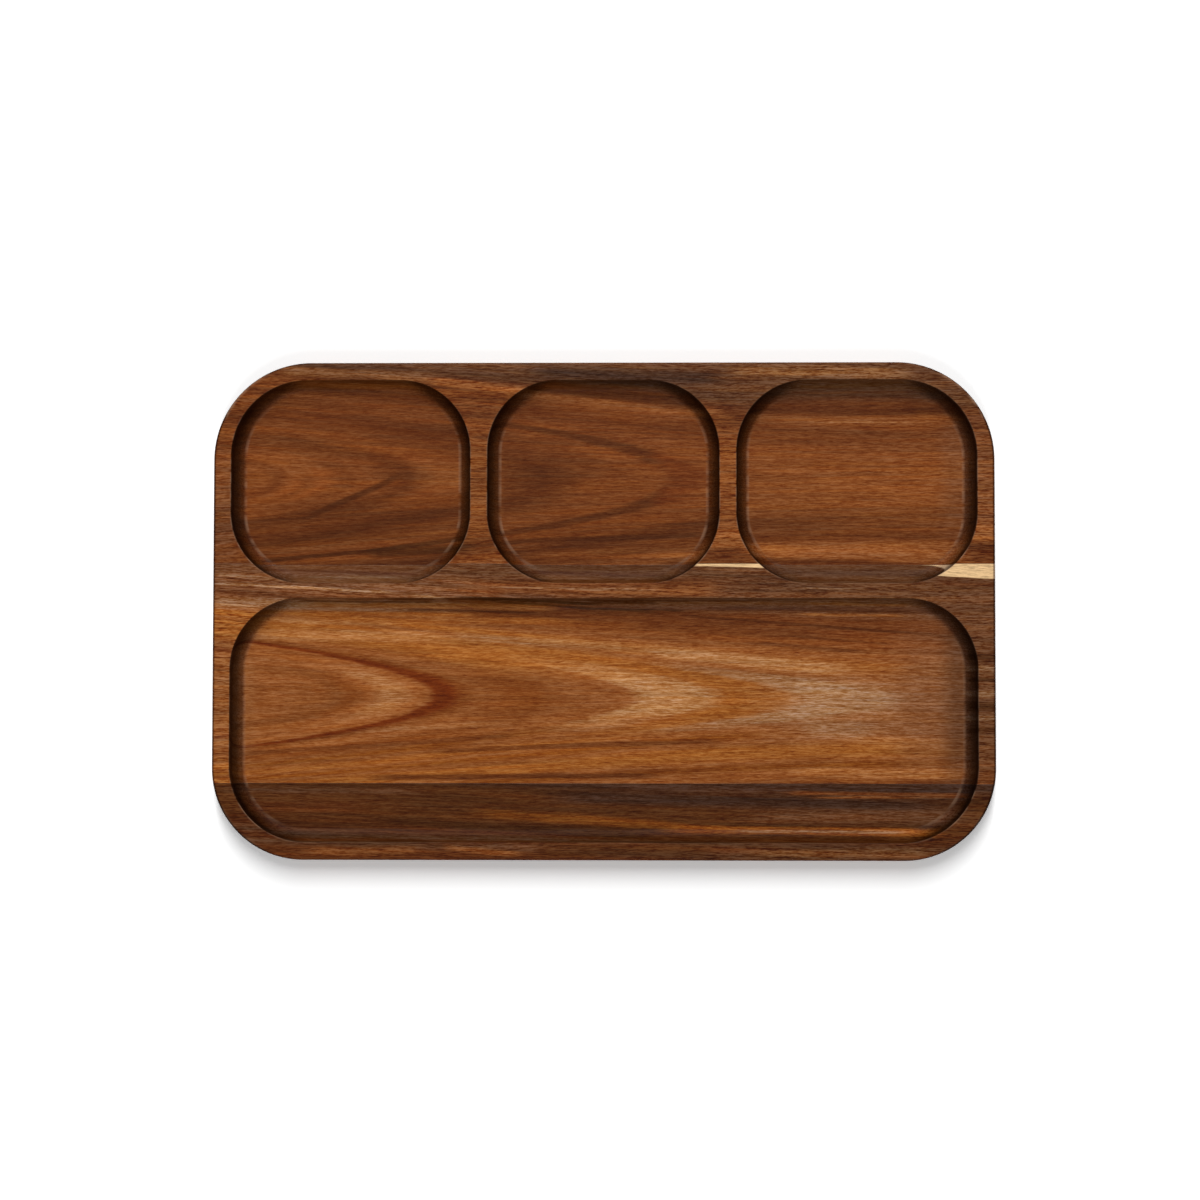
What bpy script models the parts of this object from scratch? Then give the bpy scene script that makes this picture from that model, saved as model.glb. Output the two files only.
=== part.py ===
"""Compartment serving tray: a board of three edge-glued wooden staves with four routed compartments.

Metres, +Z up. The origin is the middle of the underside. +X runs along the tray and +Y points to its rear,
where the three small compartments are. The long compartment lies along the front.
"""

import math

import bmesh
import bpy
from mathutils import Vector

# The board
LENGTH = 0.380
WIDTH = 0.242
THICKNESS = 0.018
REAR_CORNER_RADIUS = 0.0475
FRONT_CORNER_RADIUS = 0.0445
TOP_EDGE_RADIUS = 0.0012
BOTTOM_EDGE_RADIUS = 0.0020

# The staves, whose grain runs along X, and the glue between them
REAR_STAVE_WIDTH = 0.0983
FRONT_STAVE_WIDTH = 0.0370
GLUE_THICKNESS = 0.0001

# The compartments, measured at the sharp top edge of their walls
RIM_WIDTH = 0.0086
DIVIDER_WIDTH = 0.0085
RAIL_WIDTH = 0.0074
MIDDLE_COMPARTMENT_LENGTH = 0.1128
SMALL_COMPARTMENT_WIDTH = 0.0990
COMPARTMENT_DEPTH = 0.0110
INNER_CORNER_RADIUS = 0.0345
OUTER_CORNER_RADIUS = 0.0370

# The profile that a bowl bit leaves: a steep wall with a cove at its foot and an eased lip
WALL_DRAFT = math.radians(3)
COVE_RADIUS = 0.0062
LIP_RADIUS = 0.0004

# How far a cutter passes the surface that it cuts
OVERRUN = 0.0050

CORNER_STEPS = 12
EDGE_STEPS = 3
COVE_STEPS = 6
LIP_STEPS = 3
SMOOTH_ANGLE = math.radians(32)

REAR_WOOD = {"color": (0.150, 0.055, 0.022, 1), "roughness": 0.46}
MIDDLE_WOOD = {"color": (0.270, 0.105, 0.036, 1), "roughness": 0.44}
FRONT_WOOD = {"color": (0.098, 0.038, 0.017, 1), "roughness": 0.48}
GLUE = {"color": (0.050, 0.022, 0.011, 1), "roughness": 0.35}

# What the board is glued up from, front to rear
PIECES = (
    ("front_stave", FRONT_WOOD),
    ("front_glue_line", GLUE),
    ("middle_stave", MIDDLE_WOOD),
    ("rear_glue_line", GLUE),
    ("rear_stave", REAR_WOOD),
)


def clear_scene():
    for old in list(bpy.data.objects):
        bpy.data.objects.remove(old, do_unlink=True)


def material(name, color, roughness):
    """A plain non-metal finish."""
    made = bpy.data.materials.new(name)
    made.use_nodes = True
    shader = made.node_tree.nodes["Principled BSDF"]
    shader.inputs["Base Color"].default_value = color
    shader.inputs["Roughness"].default_value = roughness
    shader.inputs["Metallic"].default_value = 0
    return made


def rectangle(centre, length, width, radii):
    """A rectangle with round corners, radii in the order rear right, rear left, front left, front right."""
    return {"centre": centre, "length": length, "width": width, "radii": radii}


def ring(shape, inset, height):
    """The points of a rounded rectangle drawn in by inset on all sides, anticlockwise seen from above."""
    half_length = shape["length"] / 2 - inset
    half_width = shape["width"] / 2 - inset
    most = min(half_length, half_width)
    points = []
    for quarter, full_radius in enumerate(shape["radii"]):
        radius = min(full_radius - inset, most)
        side_x = 1 if quarter in (0, 3) else -1
        side_y = 1 if quarter in (0, 1) else -1
        middle = shape["centre"] + Vector((side_x * (half_length - radius), side_y * (half_width - radius)))
        for step in range(CORNER_STEPS + 1):
            angle = math.pi / 2 * (quarter + step / CORNER_STEPS)
            point = middle + radius * Vector((math.cos(angle), math.sin(angle)))
            points.append((point.x, point.y, height))
    return points


def loft(name, shape, profile):
    """A closed mesh whose rings are the shape drawn in by each inset of the profile, from its lowest height up."""
    shell = bmesh.new()
    rings = []
    for inset, height in profile:
        corners = [shell.verts.new(point) for point in ring(shape, inset, height)]
        count = len(corners)
        rings.append([shell.edges.new((corners[i], corners[(i + 1) % count])) for i in range(count)])
    for lower, upper in zip(rings, rings[1:]):
        bmesh.ops.bridge_loops(shell, edges=lower + upper)
    bmesh.ops.edgeloop_fill(shell, edges=rings[0])
    bmesh.ops.edgeloop_fill(shell, edges=rings[-1])
    bmesh.ops.recalc_face_normals(shell, faces=shell.faces)
    mesh = bpy.data.meshes.new(name)
    shell.to_mesh(mesh)
    shell.free()
    mesh.shade_smooth()
    mesh.set_sharp_from_angle(angle=SMOOTH_ANGLE)
    return mesh


def board_profile():
    """(inset, height) up the board's edge, rounded below and above."""
    profile = []
    for step in range(EDGE_STEPS + 1):
        turn = math.pi / 2 * step / EDGE_STEPS
        profile.append((BOTTOM_EDGE_RADIUS * (1 - math.sin(turn)), BOTTOM_EDGE_RADIUS * (1 - math.cos(turn))))
    for step in range(EDGE_STEPS + 1):
        turn = math.pi / 2 * step / EDGE_STEPS
        drop = TOP_EDGE_RADIUS * (1 - math.sin(turn))
        profile.append((TOP_EDGE_RADIUS * (1 - math.cos(turn)), THICKNESS - drop))
    return profile


def compartment_profile():
    """(inset, height) up a compartment's wall: cove, steep wall, eased lip, then straight up past the top."""
    floor = THICKNESS - COMPARTMENT_DEPTH
    cove = min(COVE_RADIUS, COMPARTMENT_DEPTH - LIP_RADIUS)
    wall_foot = floor + cove * (1 - math.sin(WALL_DRAFT))
    floor_inset = (THICKNESS - wall_foot) * math.tan(WALL_DRAFT) + cove * math.cos(WALL_DRAFT)
    bend = math.pi / 2 - WALL_DRAFT
    profile = []
    for step in range(COVE_STEPS + 1):
        turn = bend * step / COVE_STEPS
        profile.append((floor_inset - cove * math.sin(turn), floor + cove * (1 - math.cos(turn))))
    lip_inset = -LIP_RADIUS * math.tan(bend / 2)
    for step in range(LIP_STEPS + 1):
        turn = WALL_DRAFT + bend * step / LIP_STEPS
        height = THICKNESS - LIP_RADIUS * (1 - math.sin(turn))
        profile.append((lip_inset + LIP_RADIUS * math.cos(turn), height))
    profile.append((lip_inset, THICKNESS + OVERRUN))
    return profile


def compartments():
    """The four compartments by name, each with its outline at the top of its walls."""
    rear_y = WIDTH / 2 - RIM_WIDTH - SMALL_COMPARTMENT_WIDTH / 2
    side_length = (LENGTH - MIDDLE_COMPARTMENT_LENGTH) / 2 - DIVIDER_WIDTH - RIM_WIDTH
    side_x = (MIDDLE_COMPARTMENT_LENGTH + side_length) / 2 + DIVIDER_WIDTH
    long_width = WIDTH - 2 * RIM_WIDTH - RAIL_WIDTH - SMALL_COMPARTMENT_WIDTH
    long_y = (long_width - WIDTH) / 2 + RIM_WIDTH
    inner, outer = INNER_CORNER_RADIUS, OUTER_CORNER_RADIUS
    return {
        "left": rectangle(
            Vector((-side_x, rear_y)), side_length, SMALL_COMPARTMENT_WIDTH, (inner, outer, inner, inner)
        ),
        "middle": rectangle(
            Vector((0, rear_y)), MIDDLE_COMPARTMENT_LENGTH, SMALL_COMPARTMENT_WIDTH, (inner,) * 4
        ),
        "right": rectangle(
            Vector((side_x, rear_y)), side_length, SMALL_COMPARTMENT_WIDTH, (outer, inner, inner, inner)
        ),
        "long": rectangle(
            Vector((0, long_y)), LENGTH - 2 * RIM_WIDTH, long_width, (inner, inner, outer, outer)
        ),
    }


def helper(name, mesh, collection):
    """A cutter, which shows as wires and isn't part of the tray."""
    cutter = bpy.data.objects.new(name, mesh)
    cutter.hide_render = True
    cutter.display_type = "WIRE"
    collection.objects.link(cutter)
    return cutter


def compartment_cutters():
    """A collection with one cutter for each compartment."""
    cutters = bpy.data.collections.new("compartment_cutters")
    bpy.context.scene.collection.children.link(cutters)
    for name, shape in compartments().items():
        helper(name + "_cutter", loft(name + "_cutter", shape, compartment_profile()), cutters)
    return cutters


def slice_mesh(name, front, rear):
    """A box over the board's whole length and height, from the plane y = front to the plane y = rear."""
    box = bmesh.new()
    bmesh.ops.create_cube(box)
    half_length = LENGTH / 2 + OVERRUN
    for corner in box.verts:
        x = math.copysign(half_length, corner.co.x)
        y = rear if corner.co.y > 0 else front
        z = THICKNESS + OVERRUN if corner.co.z > 0 else -OVERRUN
        corner.co = (x, y, z)
    mesh = bpy.data.meshes.new(name)
    box.to_mesh(mesh)
    box.free()
    return mesh


def boolean(piece, name, operation):
    cut = piece.modifiers.new(name, "BOOLEAN")
    cut.operation = operation
    cut.solver = "EXACT"
    return cut


def board_piece(name, board, front, rear, cutters, finish, tray):
    """The part of the routed board that lies between two planes across it."""
    piece = bpy.data.objects.new(name, board.copy())
    piece.data.name = name
    piece.data.materials.append(material(name, **finish))
    piece.parent = tray
    bpy.context.scene.collection.objects.link(piece)
    compartment_cut = boolean(piece, "compartments", "DIFFERENCE")
    compartment_cut.operand_type = "COLLECTION"
    compartment_cut.collection = cutters
    keep = helper(name + "_slice", slice_mesh(name + "_slice", front, rear), bpy.context.scene.collection)
    boolean(piece, "sawn edges", "INTERSECT").object = keep
    return piece


def build_tray():
    """The three staves and the glue lines between them, on one empty."""
    tray = bpy.data.objects.new("tray", None)
    bpy.context.scene.collection.objects.link(tray)
    radii = (REAR_CORNER_RADIUS, REAR_CORNER_RADIUS, FRONT_CORNER_RADIUS, FRONT_CORNER_RADIUS)
    board = loft("board", rectangle(Vector((0, 0)), LENGTH, WIDTH, radii), board_profile())
    cutters = compartment_cutters()
    rear_joint = WIDTH / 2 - REAR_STAVE_WIDTH
    front_joint = FRONT_STAVE_WIDTH - WIDTH / 2
    half_glue = GLUE_THICKNESS / 2
    planes = (
        -WIDTH / 2 - OVERRUN,
        front_joint - half_glue,
        front_joint + half_glue,
        rear_joint - half_glue,
        rear_joint + half_glue,
        WIDTH / 2 + OVERRUN,
    )
    for (name, finish), front, rear in zip(PIECES, planes, planes[1:]):
        board_piece(name, board, front, rear, cutters, finish, tray)
    bpy.data.meshes.remove(board)


def main():
    clear_scene()
    build_tray()


if __name__ == "__main__":
    main()
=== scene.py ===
"""Wooden compartment serving tray: three edge-glued staves, two glue lines, and a plain studio around them.

Metres in the frame of the CAD: origin in the middle of the underside, +X along the tray and its grain,
+Y to the rear rim, +Z up. Wood figure is written in millimetres, because a maker reads a board that way.
"""

import math

import bmesh
import bpy
from bpy.props import FloatProperty, FloatVectorProperty, IntProperty, PointerProperty
from mathutils import Matrix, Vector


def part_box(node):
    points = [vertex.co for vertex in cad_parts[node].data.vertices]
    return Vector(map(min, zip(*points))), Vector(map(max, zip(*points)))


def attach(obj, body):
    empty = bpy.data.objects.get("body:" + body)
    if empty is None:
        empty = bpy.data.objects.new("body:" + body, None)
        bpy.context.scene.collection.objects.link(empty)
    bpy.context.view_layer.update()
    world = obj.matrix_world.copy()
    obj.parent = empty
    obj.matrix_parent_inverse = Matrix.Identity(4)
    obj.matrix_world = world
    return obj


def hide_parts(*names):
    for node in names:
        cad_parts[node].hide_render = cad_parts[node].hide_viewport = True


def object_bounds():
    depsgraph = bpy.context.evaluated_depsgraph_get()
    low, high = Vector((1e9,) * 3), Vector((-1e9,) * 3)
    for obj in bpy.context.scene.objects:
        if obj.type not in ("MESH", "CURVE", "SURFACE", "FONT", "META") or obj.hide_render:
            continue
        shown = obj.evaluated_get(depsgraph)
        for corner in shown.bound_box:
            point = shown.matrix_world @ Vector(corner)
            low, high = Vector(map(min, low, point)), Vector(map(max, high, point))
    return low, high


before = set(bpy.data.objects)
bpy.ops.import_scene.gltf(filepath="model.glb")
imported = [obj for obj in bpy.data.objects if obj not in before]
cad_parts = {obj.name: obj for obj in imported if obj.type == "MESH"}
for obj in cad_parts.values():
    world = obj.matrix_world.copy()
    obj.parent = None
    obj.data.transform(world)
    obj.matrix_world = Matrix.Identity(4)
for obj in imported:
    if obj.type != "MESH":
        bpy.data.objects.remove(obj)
CAD_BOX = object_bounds()
CAD_LENGTH = CAD_BOX[1][0] - CAD_BOX[0][0]
CAD_WIDTH = CAD_BOX[1][1] - CAD_BOX[0][1]
CAD_THICKNESS = CAD_BOX[1][2] - CAD_BOX[0][2]

bl_info = {
    "name": "Compartment Serving Tray",
    "version": (1, 0, 0),
    "blender": (4, 5, 0),
    "location": "3D View > Sidebar > Tray",
    "description": "Makes a routed, edge-glued wooden serving tray and a studio to look at it in",
    "category": "Add Mesh",
}

MM = 0.001


# Properties

def length(name, description, default):
    return FloatProperty(
        name=name, description=description, default=default, min=0, unit="LENGTH", precision=4
    )


def count(name, description, default, least, most):
    return IntProperty(name=name, description=description, default=default, min=least, max=most)


def colour(name, description, default):
    return FloatVectorProperty(
        name=name, description=description, default=default, min=0, max=1, size=3, subtype="COLOR"
    )


class TRAY_PG_shape(bpy.types.PropertyGroup):
    """Sizes of the board and of what the router cuts into it."""

    board_length: length("Length", "Length of the board, along the grain", CAD_LENGTH)
    board_width: length("Width", "Width of the board, from front to rear rim", CAD_WIDTH)
    thickness: length("Thickness", "Thickness of the board", CAD_THICKNESS)
    rear_corner: length("Rear Corners", "Radius of the board's rear corners", 0.0475)
    front_corner: length("Front Corners", "Radius of the board's front corners", 0.0445)
    top_edge: length("Top Edge", "Radius of the outer top edge", 0.0012)
    bottom_edge: length("Bottom Edge", "Radius of the outer bottom edge", 0.0020)
    rim: length("Rim", "Width of the rim round the compartments", 0.0086)
    divider: length("Divider", "Width of the dividers between the small compartments", 0.0085)
    rail: length("Rail", "Width of the rail between the two rows", 0.0074)
    middle_length: length("Middle Compartment", "Length of the middle small compartment", 0.1128)
    small_width: length("Small Compartments", "Width of the small compartments, front to rear", 0.0990)
    depth: length("Depth", "Depth of the compartments", 0.0110)
    inner_corner: length("Inner Corners", "Radius of the compartments' corners", 0.0345)
    outer_corner: length("Outer Corners", "Radius of the compartment corners by the tray's corners", 0.0370)
    cove: length("Cove", "Radius of the cove at the foot of the walls", 0.0062)
    lip: length("Lip", "Radius of the eased lip at the top of the walls", 0.0004)
    draft: FloatProperty(
        name="Wall Draft", description="Slant of the walls", default=math.radians(3), subtype="ANGLE"
    )
    corner_steps: count("Corner Steps", "Facets to each corner", 36, 4, 90)
    cove_steps: count("Cove Steps", "Facets to each cove", 12, 2, 30)
    edge_steps: count("Edge Steps", "Facets to each eased edge", 5, 2, 12)


class TRAY_PG_finish(bpy.types.PropertyGroup):
    """Colours that the rings and streaks of the wood are made of."""

    sapwood: colour("Sapwood", "Cream sapwood", (0.800, 0.530, 0.270))
    pale: colour("Pale Tan", "Lightest heartwood", (0.415, 0.180, 0.060))
    straw: colour("Straw", "Light heartwood with a grey cast", (0.370, 0.172, 0.070))
    peach: colour("Peach", "Light pinkish heartwood", (0.365, 0.140, 0.042))
    honey: colour("Honey", "Golden heartwood", (0.350, 0.105, 0.0155))
    tan: colour("Tan", "Everyday heartwood of the middle stave", (0.285, 0.085, 0.018))
    orange: colour("Orange Brown", "Warm brown band", (0.225, 0.057, 0.005))
    brown: colour("Brown", "Medium brown band", (0.212, 0.054, 0.008))
    russet: colour("Russet", "Everyday heartwood of the rear stave", (0.190, 0.0485, 0.0085))
    rust: colour("Rust", "Dark red line of the cathedrals", (0.158, 0.025, 0.002))
    grey: colour("Grey Brown", "Brown with a grey cast", (0.170, 0.060, 0.020))
    umber: colour("Umber", "Dark brown band", (0.108, 0.025, 0.004))
    walnut: colour("Walnut", "Everyday heartwood of the front stave", (0.066, 0.018, 0.003))
    plum: colour("Plum", "Darkest band, with a purple cast", (0.053, 0.020, 0.009))
    glue: colour("Glue", "Cured glue", (0.050, 0.022, 0.011))


# Nodes

class Value:
    """What a node gives out. A sum with it adds a Math node to the tree."""

    def __init__(self, sheet, socket):
        self.sheet = sheet
        self.socket = socket

    def __add__(self, other):
        return self.sheet.math("ADD", self, other)

    def __sub__(self, other):
        return self.sheet.math("SUBTRACT", self, other)

    def __rsub__(self, other):
        return self.sheet.math("SUBTRACT", other, self)

    def __mul__(self, other):
        return self.sheet.math("MULTIPLY", self, other)

    def __truediv__(self, other):
        return self.sheet.math("DIVIDE", self, other)

    def __neg__(self):
        return self * -1.0

    def __abs__(self):
        return self.sheet.math("ABSOLUTE", self)


class Sheet:
    """A node tree that is being drawn."""

    def __init__(self, tree):
        self.tree = tree

    def node(self, kind, values=(), **settings):
        made = self.tree.nodes.new(kind)
        for name, value in settings.items():
            setattr(made, name, value)
        for key, value in dict(values).items():
            self.feed(made.inputs[key], value)
        return made

    def feed(self, socket, value):
        if isinstance(value, Value):
            self.tree.links.new(value.socket, socket)
        else:
            socket.default_value = value

    def output(self, kind, values=(), index=0, **settings):
        """One thing that a new node gives out."""
        return Value(self, self.node(kind, values, **settings).outputs[index])

    def outputs(self, kind, values=()):
        """All that a new node gives out, by name."""
        return {socket.name: Value(self, socket) for socket in self.node(kind, values).outputs}

    def math(self, operation, *values, clamp=False):
        return self.output("ShaderNodeMath", enumerate(values), operation=operation, use_clamp=clamp)


def vector(sheet, x, y, z=0.0):
    return sheet.output("ShaderNodeCombineXYZ", {"X": x, "Y": y, "Z": z})


def split(sheet, place):
    """x, y and z of a vector."""
    return sheet.outputs("ShaderNodeSeparateXYZ", {0: place}).values()


def ramp(sheet, value, start, end, low=0.0, high=1.0, **settings):
    """low at start and high at end, and a straight line between them."""
    values = {"Value": value, "From Min": start, "From Max": end, "To Min": low, "To Max": high}
    return sheet.output("ShaderNodeMapRange", values, **settings)


def fade(sheet, value, start, end):
    """0 at start and 1 at end, with soft ends."""
    return ramp(sheet, value, start, end, interpolation_type="SMOOTHSTEP")


def node_group(name, kind, result, inputs, draw):
    """The node group of that name, drawn when first asked for. inputs lists (label, kind of socket)."""
    known = bpy.data.node_groups.get(name)
    if known:
        return known
    tree = bpy.data.node_groups.new(name, kind)
    tree.interface.new_socket(result, in_out="OUTPUT", socket_type="NodeSocket" + result)
    for label, socket_kind in inputs:
        tree.interface.new_socket(label, in_out="INPUT", socket_type="NodeSocket" + socket_kind)
    sheet = Sheet(tree)
    drawn = draw(sheet, sheet.outputs("NodeGroupInput"))
    sheet.node("NodeGroupOutput", {0: drawn})
    return tree


# Shape of the tray as a node tree

BOARD_KEYS = tuple(TRAY_PG_shape.__annotations__)


def socket_label(key):
    return key.replace("_", " ").title()


BOARD_INPUTS = (
    *((socket_label(key), "Int" if key.endswith("_steps") else "Float") for key in BOARD_KEYS),
    ("Slice Front", "Float"),
    ("Slice Rear", "Float"),
    ("Material", "Material"),
)
FLAT_MARGIN = 0.0006
CORNER_MARGIN = 0.001
WELD = 0.000002
LEVEL_SLACK = 0.00002
SLICE_OVERRUN = 0.004
# Halfway between two whole numbers, so that a test of a count or an index is a clear one
BETWEEN_1_AND_2 = 1.5


def choose(sheet, test, when_true, when_false, kind="FLOAT"):
    return sheet.output("GeometryNodeSwitch", {0: test, 1: when_false, 2: when_true}, input_type=kind)


def greater(sheet, a, b):
    values = {0: a, 1: b}
    return sheet.output("FunctionNodeCompare", values, data_type="FLOAT", operation="GREATER_THAN")


def both(sheet, a, b):
    return sheet.output("FunctionNodeBooleanMath", {0: a, 1: b}, operation="AND")


def position(sheet):
    return split(sheet, sheet.output("GeometryNodeInputPosition"))


def move(sheet, geometry, x, y, z=0.0):
    values = {"Geometry": geometry, "Translation": vector(sheet, x, y, z)}
    return sheet.output("GeometryNodeTransform", values)


def rectangle(sheet, along, across, x=0.0, y=0.0):
    quad = sheet.output("GeometryNodeCurvePrimitiveQuadrilateral", {"Width": along, "Height": across})
    return move(sheet, quad, x, y)


def round_corners(sheet, curve, radius, steps, limit=True):
    values = {"Curve": curve, "Count": steps, "Radius": radius, "Limit Radius": limit}
    return sheet.output("GeometryNodeFilletCurve", values, mode="POLY")


def open_profile(sheet, points, radii, steps):
    """An open profile through points 0 to 3, x outwards and y downwards, with points 1 and 2 rounded."""
    corners = {}
    for index, (x, height) in enumerate(points):
        corners["Point %d" % (index + 1)] = vector(sheet, x, -height)
    quad = sheet.output("GeometryNodeCurvePrimitiveQuadrilateral", corners, mode="POINTS")
    line = sheet.output("GeometryNodeSetSplineCyclic", {"Geometry": quad, "Cyclic": False})
    at_second = greater(sheet, sheet.output("GeometryNodeInputIndex"), BETWEEN_1_AND_2)
    facets = choose(sheet, at_second, steps[1], steps[0], "INT")
    radius = choose(sheet, at_second, radii[1], radii[0])
    return round_corners(sheet, line, radius, facets, limit=False)


def sweep(sheet, outline, profile):
    return sheet.output("GeometryNodeCurveToMesh", {"Curve": outline, "Profile Curve": profile})


def turn_over(sheet, surface):
    return sheet.output("GeometryNodeFlipFaces", {"Mesh": surface})


def join(sheet, *parts):
    made = sheet.node("GeometryNodeJoinGeometry")
    for part in parts:
        sheet.feed(made.inputs[0], part)
    return Value(sheet, made.outputs[0])


def cap(sheet, walls, height):
    """Flat faces that fill the open loops of the walls at one height."""
    face_count = sheet.output("GeometryNodeInputMeshEdgeNeighbors")
    _, _, z = position(sheet)
    is_open = greater(sheet, BETWEEN_1_AND_2, face_count)
    is_level = greater(sheet, LEVEL_SLACK, abs(z - height))
    wanted = both(sheet, is_open, is_level)
    loops = sheet.output("GeometryNodeMeshToCurve", {"Mesh": walls, "Selection": wanted})
    filled = sheet.output("GeometryNodeFillCurve", {"Curve": loops}, mode="NGONS")
    return move(sheet, filled, 0.0, 0.0, height)


def board_edge(sheet, size):
    """The board's edge, swept round its outline."""
    _, y, _ = position(sheet)
    radius = choose(sheet, greater(sheet, y, 0.0), size["Rear Corner"], size["Front Corner"])
    outline = rectangle(sheet, size["Board Length"], size["Board Width"])
    outline = round_corners(sheet, outline, radius, size["Corner Steps"])
    below = -(size["Bottom Edge"] + FLAT_MARGIN)
    above = -(size["Top Edge"] + FLAT_MARGIN)
    top = size["Thickness"]
    edge = open_profile(
        sheet,
        ((below, 0.0), (0.0, 0.0), (0.0, top), (above, top)),
        (size["Bottom Edge"], size["Top Edge"]),
        (size["Edge Steps"], size["Edge Steps"]),
    )
    return turn_over(sheet, sweep(sheet, outline, edge))


def compartment_outlines(sheet, size):
    """The four compartments' outlines at the top of their walls."""
    rim = size["Rim"]
    small_width = size["Small Width"]
    half_length = size["Board Length"] / 2
    half_width = size["Board Width"] / 2
    side_length = half_length - size["Middle Length"] / 2 - size["Divider"] - rim
    side_x = half_length - rim - side_length / 2
    small_y = half_width - rim - small_width / 2
    long_width = size["Board Width"] - (small_width + size["Rail"] + rim * 2)
    long_y = long_width / 2 + (rim - half_width)
    outlines = join(
        sheet,
        rectangle(sheet, side_length, small_width, -side_x, small_y),
        rectangle(sheet, size["Middle Length"], small_width, 0.0, small_y),
        rectangle(sheet, side_length, small_width, side_x, small_y),
        rectangle(sheet, size["Board Length"] - rim * 2, long_width, 0.0, long_y),
    )
    x, y, _ = position(sheet)
    at_end = greater(sheet, abs(x), half_length - rim - CORNER_MARGIN)
    at_side = greater(sheet, abs(y), half_width - rim - CORNER_MARGIN)
    radius = choose(sheet, both(sheet, at_end, at_side), size["Outer Corner"], size["Inner Corner"])
    return round_corners(sheet, outlines, radius, size["Corner Steps"])


def compartment_walls(sheet, size, floor):
    """A flat strip of floor, the cove, the steep wall, the eased lip and a flat strip of rim."""
    foot = size["Depth"] * sheet.math("TANGENT", size["Draft"])
    tangent = sheet.math("TANGENT", (math.pi / 2 - size["Draft"]) / 2)
    floor_edge = foot + size["Cove"] * tangent + FLAT_MARGIN
    lip_edge = size["Lip"] * tangent + FLAT_MARGIN
    top = size["Thickness"]
    wall = open_profile(
        sheet,
        ((-floor_edge, floor), (-foot, floor), (0.0, top), (lip_edge, top)),
        (size["Cove"], size["Lip"]),
        (size["Cove Steps"], size["Edge Steps"]),
    )
    return sweep(sheet, compartment_outlines(sheet, size), wall)


def slab(sheet, size):
    """The part of the board that one piece takes up, with room to spare except at its two glued sides."""
    front, rear, thickness = size["Slice Front"], size["Slice Rear"], size["Thickness"]
    block = vector(sheet, size["Board Length"] + SLICE_OVERRUN, rear - front, thickness + SLICE_OVERRUN)
    cube = sheet.output("GeometryNodeMeshCube", {"Size": block})
    return move(sheet, cube, 0.0, (rear + front) / 2, thickness / 2)


def draw_board(sheet, size):
    """The routed board between two planes across it. Flat faces close its underside, rims and floors."""
    floor = size["Thickness"] - size["Depth"]
    walls = join(sheet, board_edge(sheet, size), compartment_walls(sheet, size, floor))
    underside = turn_over(sheet, cap(sheet, walls, 0.0))
    board = join(sheet, walls, underside, cap(sheet, walls, floor), cap(sheet, walls, size["Thickness"]))
    board = sheet.output("GeometryNodeMergeByDistance", {"Geometry": board, "Distance": WELD})
    cut = sheet.node("GeometryNodeMeshBoolean", operation="INTERSECT", solver="EXACT")
    for part in (board, slab(sheet, size)):
        sheet.feed(cut.inputs["Mesh 2"], part)
    whole = sheet.output("GeometryNodeRealizeInstances", {"Geometry": Value(sheet, cut.outputs[0])})
    return sheet.output("GeometryNodeSetMaterial", {"Geometry": whole, "Material": size["Material"]})


SMOOTH_ANGLE = math.radians(28)
QUAD_CORNERS = 4


def add_object(name, data):
    made = bpy.data.objects.new(name, data)
    bpy.context.scene.collection.objects.link(made)
    return made


def board_mesh(name, values):
    """What the board's tree makes of these inputs, as a plain mesh."""
    tree = node_group("Routed Board", "GeometryNodeTree", "Geometry", BOARD_INPUTS, draw_board)
    empty = bpy.data.meshes.new(name + "_maker")
    maker = add_object(name + "_maker", empty)
    modifier = maker.modifiers.new("Routed Board", "NODES")
    modifier.node_group = tree
    for item in tree.interface.items_tree:
        if item.in_out == "INPUT":
            modifier[item.identifier] = values[item.name]
    depsgraph = bpy.context.evaluated_depsgraph_get()
    mesh = bpy.data.meshes.new_from_object(maker.evaluated_get(depsgraph))
    maker.modifiers.remove(modifier)
    bpy.data.objects.remove(maker)
    bpy.data.meshes.remove(empty)
    mesh.name = name
    return mesh


def close_shell(mesh):
    """Welds the mesh and turns its faces outwards. It has to come out closed."""
    shell = bmesh.new()
    shell.from_mesh(mesh)
    bmesh.ops.remove_doubles(shell, verts=shell.verts, dist=WELD)
    bmesh.ops.dissolve_degenerate(shell, edges=shell.edges, dist=WELD)
    bmesh.ops.triangulate(shell, faces=[face for face in shell.faces if len(face.verts) > QUAD_CORNERS])
    bmesh.ops.recalc_face_normals(shell, faces=shell.faces)
    loose = [edge for edge in shell.edges if not edge.is_manifold]
    shell.to_mesh(mesh)
    shell.free()
    if loose or not mesh.polygons:
        raise RuntimeError("%s has %d faces and %d open edges" % (mesh.name, len(mesh.polygons), len(loose)))


def routed_piece(name, material, front, rear):
    """The finished piece of the board between the planes y = front and y = rear."""
    values = {"Slice Front": front, "Slice Rear": rear, "Material": material}
    for key in BOARD_KEYS:
        values[socket_label(key)] = getattr(bpy.context.scene.tray_shape, key)
    mesh = board_mesh(name, values)
    close_shell(mesh)
    mesh.shade_smooth()
    mesh.set_sharp_from_angle(angle=SMOOTH_ANGLE)
    return add_object(name, mesh)


# The wood

def paint(name, lightness=1.0):
    """The colour of that name on the panel, made lighter or darker, with an opacity."""
    return (*(channel * lightness for channel in getattr(bpy.context.scene.tray_finish, name)), 1)


# Sockets of a Mix node that mixes colours, whose names are not unique
MIX_SHARE, MIX_FIRST, MIX_SECOND, MIX_RESULT = 0, 6, 7, 2


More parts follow.
